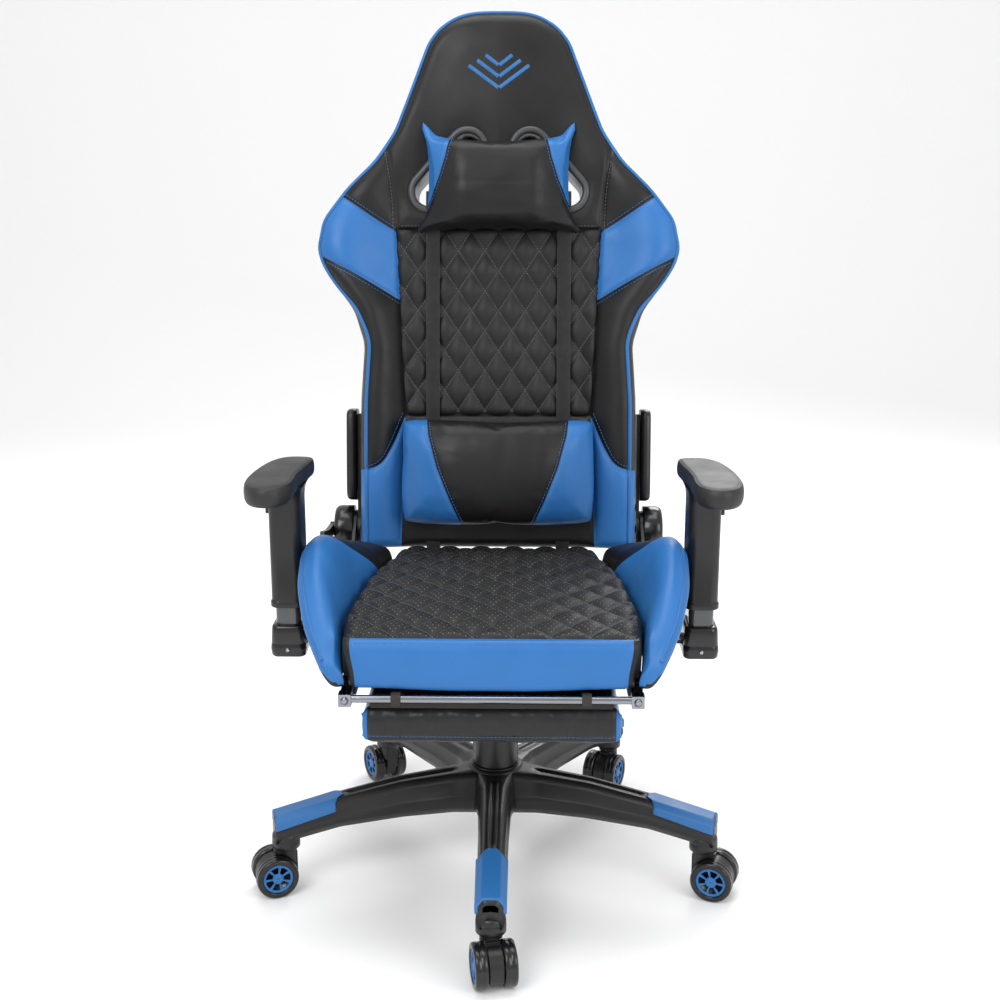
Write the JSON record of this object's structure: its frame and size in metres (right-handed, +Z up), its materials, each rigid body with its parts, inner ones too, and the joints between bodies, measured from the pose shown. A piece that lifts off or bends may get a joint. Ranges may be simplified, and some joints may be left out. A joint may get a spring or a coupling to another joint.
{
  "type": "gaming chair",
  "caption": "Racing-style swivel gaming chair with bucket seat, reclining winged backrest, head and lumbar pillows, height-adjustable armrests and a slide-out flip-over footrest.",
  "frame": {"origin": "on the floor under the middle of the whole chair; the gas column's axis stands 12.6 mm in front of it", "axes": "+Z up, -Y the way the sitter faces, +X to the sitter's left"},
  "size_m": [0.707, 0.7596, 1.2504],
  "materials": {
    "nylon_black": "satin",
    "blue_plastic": "satin",
    "steel_black": "satin",
    "steel_bright": "satin",
    "chrome": "polished",
    "board": "matte",
    "soft_pad": "matte",
    "black_upholstery": "satin",
    "blue_upholstery": "satin",
    "webbing": "matte",
    "grey_trim": "satin",
    "wheel_tread": "gloss"
  },
  "bodies": {
    "base": {"base_star": "nylon_black", "leg_caps": "blue_plastic", "gas_lift_tube": "steel_black", "dust_cover_lower": "nylon_black"},
    "caster_front": {"caster_front_fork": "nylon_black"},
    "caster_front_wheel_a": {"caster_front_wheel_a": "wheel_tread"},
    "caster_front_wheel_b": {"caster_front_wheel_b": "wheel_tread"},
    "caster_left": {"caster_left_fork": "nylon_black"},
    "caster_left_wheel_a": {"caster_left_wheel_a": "wheel_tread"},
    "caster_left_wheel_b": {"caster_left_wheel_b": "wheel_tread"},
    "caster_rear_left": {"caster_rear_left_fork": "nylon_black"},
    "caster_rear_left_wheel_a": {"caster_rear_left_wheel_a": "wheel_tread"},
    "caster_rear_left_wheel_b": {"caster_rear_left_wheel_b": "wheel_tread"},
    "caster_rear_right": {"caster_rear_right_fork": "nylon_black"},
    "caster_rear_right_wheel_a": {"caster_rear_right_wheel_a": "wheel_tread"},
    "caster_rear_right_wheel_b": {"caster_rear_right_wheel_b": "wheel_tread"},
    "caster_right": {"caster_right_fork": "nylon_black"},
    "caster_right_wheel_a": {"caster_right_wheel_a": "wheel_tread"},
    "caster_right_wheel_b": {"caster_right_wheel_b": "wheel_tread"},
    "column": {"piston_rod": "steel_bright"},
    "lift": {"gas_cylinder": "steel_bright", "mechanism_housing": "steel_black", "dust_cover_upper": "nylon_black", "tilt_axle": "steel_bright", "tilt_spring": "steel_bright"},
    "lever_pin": {"lever_pin": "steel_bright"},
    "height_lever": {"height_lever": "steel_black"},
    "tension_knob": {"tension_knob": "nylon_black"},
    "seat": {"tilt_plate": "steel_black", "seat_frame": "steel_black", "seat_bolts": "steel_bright", "seat_cushion": "black_upholstery", "seat_bolster_left": "blue_upholstery", "seat_bolster_right": "blue_upholstery", "footrest_channels": "steel_black", "seat_hinge_plates": "steel_black", "pivot_covers": "nylon_black", "arm_brackets": "steel_black", "arm_posts": "steel_black", "arm_collars": "nylon_black"},
    "recline_lever": {"recline_lever": "nylon_black"},
    "backrest": {"back_brackets": "steel_black", "back_covers": "nylon_black", "back_frame": "steel_black", "back_cushion": "black_upholstery", "back_shell": "black_upholstery", "harness_trims": "grey_trim", "head_pillow": "black_upholstery", "head_strap": "webbing", "lumbar_straps": "webbing"},
    "lumbar_pillow": {"lumbar_pillow": "black_upholstery"},
    "armrest_left": {"arm_sleeve_left": "nylon_black", "arm_pad_left": "soft_pad"},
    "arm_button_left": {"arm_button_left": "nylon_black"},
    "armrest_right": {"arm_sleeve_right": "nylon_black", "arm_pad_right": "soft_pad"},
    "arm_button_right": {"arm_button_right": "nylon_black"},
    "footrest_slide": {"footrest_slide": "chrome"},
    "footrest": {"footrest_board": "board", "footrest_pad": "black_upholstery"}
  },
  "joints": [
    {"name": "caster_front_swivel", "type": "hinge", "parent": "base", "child": "caster_front", "pos_m": [0, -0.3276, 0.065], "axis": [0, 0, 1], "continuous": true},
    {"name": "caster_front_wheel_a_spin", "type": "hinge", "parent": "caster_front", "child": "caster_front_wheel_a", "pos_m": [0.00374, -0.34521, 0.03], "axis": [0.9781, 0.2079, 0], "continuous": true},
    {"name": "caster_front_wheel_b_spin", "type": "hinge", "parent": "caster_front", "child": "caster_front_wheel_b", "pos_m": [0.00374, -0.34521, 0.03], "axis": [0.9781, 0.2079, 0], "continuous": true},
    {"name": "caster_left_swivel", "type": "hinge", "parent": "base", "child": "caster_left", "pos_m": [0.29958, -0.10994, 0.065], "axis": [0, 0, 1], "continuous": true},
    {"name": "caster_left_wheel_a_spin", "type": "hinge", "parent": "caster_left", "child": "caster_left_wheel_a", "pos_m": [0.31639, -0.11639, 0.03], "axis": [0.3584, 0.9336, 0], "continuous": true},
    {"name": "caster_left_wheel_b_spin", "type": "hinge", "parent": "caster_left", "child": "caster_left_wheel_b", "pos_m": [0.31639, -0.11639, 0.03], "axis": [0.3584, 0.9336, 0], "continuous": true},
    {"name": "caster_rear_left_swivel", "type": "hinge", "parent": "base", "child": "caster_rear_left", "pos_m": [0.18515, 0.24224, 0.065], "axis": [0, 0, 1], "continuous": true},
    {"name": "caster_rear_left_wheel_a_spin", "type": "hinge", "parent": "caster_rear_left", "child": "caster_rear_left_wheel_a", "pos_m": [0.17755, 0.22593, 0.03], "axis": [0.9063, -0.4226, 0], "continuous": true},
    {"name": "caster_rear_left_wheel_b_spin", "type": "hinge", "parent": "caster_rear_left", "child": "caster_rear_left_wheel_b", "pos_m": [0.17755, 0.22593, 0.03], "axis": [0.9063, -0.4226, 0], "continuous": true},
    {"name": "caster_rear_right_swivel", "type": "hinge", "parent": "base", "child": "caster_rear_right", "pos_m": [-0.18515, 0.24224, 0.065], "axis": [0, 0, 1], "continuous": true},
    {"name": "caster_rear_right_wheel_a_spin", "type": "hinge", "parent": "caster_rear_right", "child": "caster_rear_right_wheel_a", "pos_m": [-0.19415, 0.25783, 0.03], "axis": [-0.866, -0.5, 0], "continuous": true},
    {"name": "caster_rear_right_wheel_b_spin", "type": "hinge", "parent": "caster_rear_right", "child": "caster_rear_right_wheel_b", "pos_m": [-0.19415, 0.25783, 0.03], "axis": [-0.866, -0.5, 0], "continuous": true},
    {"name": "caster_right_swivel", "type": "hinge", "parent": "base", "child": "caster_right", "pos_m": [-0.29958, -0.10994, 0.065], "axis": [0, 0, 1], "continuous": true},
    {"name": "caster_right_wheel_a_spin", "type": "hinge", "parent": "caster_right", "child": "caster_right_wheel_a", "pos_m": [-0.31639, -0.11639, 0.03], "axis": [0.3584, -0.9336, 0], "continuous": true},
    {"name": "caster_right_wheel_b_spin", "type": "hinge", "parent": "caster_right", "child": "caster_right_wheel_b", "pos_m": [-0.31639, -0.11639, 0.03], "axis": [0.3584, -0.9336, 0], "continuous": true},
    {"name": "seat_swivel", "type": "hinge", "parent": "base", "child": "column", "pos_m": [0, -0.0126, 0.2], "axis": [0, 0, 1], "continuous": true},
    {"name": "seat_height", "type": "slide", "parent": "column", "child": "lift", "axis": [0, 0, 1], "range_m": [0, 0.08]},
    {"name": "tilt_lock_pull", "type": "slide", "parent": "lift", "child": "lever_pin", "axis": [-1, 0, 0], "range_m": [0, 0.007]},
    {"name": "height_lever_lift", "type": "hinge", "parent": "lever_pin", "child": "height_lever", "pos_m": [-0.064, -0.0126, 0.356], "axis": [0, 1, 0], "range_deg": [0, 3.6], "stiffness_Nm_per_rad": 2, "springref_deg": -11.46},
    {"name": "tension_knob_turn", "type": "hinge", "parent": "lift", "child": "tension_knob", "pos_m": [0, -0.0826, 0.27], "axis": [0, 0, 1], "range_deg": [-360, 360]},
    {"name": "seat_tilt", "type": "hinge", "parent": "lift", "child": "seat", "pos_m": [0, -0.0446, 0.333], "axis": [-1, 0, 0], "range_deg": [0, 14], "stiffness_Nm_per_rad": 90, "springref_deg": -40.11},
    {"name": "back_recline", "type": "hinge", "parent": "seat", "child": "backrest", "pos_m": [0, 0.23956, 0.44527], "axis": [-1, 0, 0], "range_deg": [0, 65]},
    {"name": "recline_lever_lift", "type": "hinge", "parent": "seat", "child": "recline_lever", "pos_m": [-0.27, 0.23956, 0.44527], "axis": [-1, 0, 0], "range_deg": [0, 35], "stiffness_Nm_per_rad": 0.6, "springref_deg": -17.19},
    {"name": "lumbar_pillow_slide", "type": "slide", "parent": "backrest", "child": "lumbar_pillow", "axis": [0, 0.1621, 0.9868], "range_m": [-0.02, 0.1]},
    {"name": "footrest_extend", "type": "slide", "parent": "seat", "child": "footrest_slide", "axis": [0, -1, 0], "range_m": [0, 0.2]},
    {"name": "footrest_flip", "type": "hinge", "parent": "footrest_slide", "child": "footrest", "pos_m": [0, -0.2896, 0.368], "axis": [-1, 0, 0], "range_deg": [0, 180]},
    {"name": "armrest_left_height", "type": "slide", "parent": "seat", "child": "armrest_left", "axis": [0, 0, 1], "range_m": [-0.02, 0.055]},
    {"name": "arm_button_left_press", "type": "slide", "parent": "armrest_left", "child": "arm_button_left", "axis": [-1, 0, 0], "range_m": [0, 0.003], "stiffness_N_per_m": 600, "springref_m": -0.002},
    {"name": "armrest_right_height", "type": "slide", "parent": "seat", "child": "armrest_right", "axis": [0, 0, 1], "range_m": [-0.02, 0.055]},
    {"name": "arm_button_right_press", "type": "slide", "parent": "armrest_right", "child": "arm_button_right", "axis": [1, 0, 0], "range_m": [0, 0.003], "stiffness_N_per_m": 600, "springref_m": -0.002}
  ]
}
